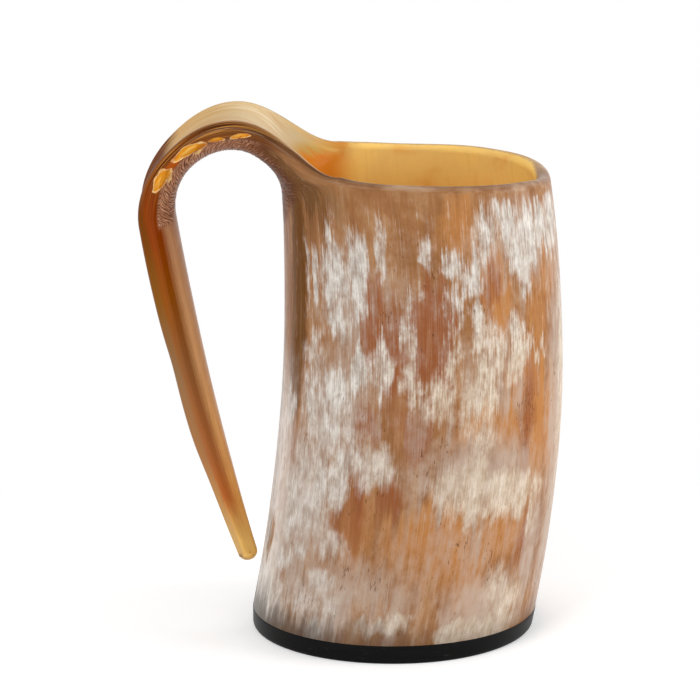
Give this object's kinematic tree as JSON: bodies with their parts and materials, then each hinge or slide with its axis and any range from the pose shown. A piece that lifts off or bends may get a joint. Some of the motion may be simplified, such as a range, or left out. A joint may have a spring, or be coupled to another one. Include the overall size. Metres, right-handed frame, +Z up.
{
  "type": "horn drinking cup",
  "caption": "Drinking cup cut from a length of bowed horn, with a handle bent over and down out of the same horn and a black base glued into its wide end.",
  "frame": {"origin": "middle of the base on the surface that the cup stands on", "axes": "+Z up, -X towards the handle, Y across the cup, with the XZ plane as its plane of symmetry"},
  "size_m": [0.1324, 0.0878, 0.1666],
  "materials": {
    "horn": "polished natural horn, tan to amber with pale fibrous patches",
    "base": "satin black",
    "glue": "clear amber glue"
  },
  "bodies": {
    "root": {"horn_cup": "horn", "base_plug": "base", "glue_seal": "glue"}
  },
  "joints": []
}
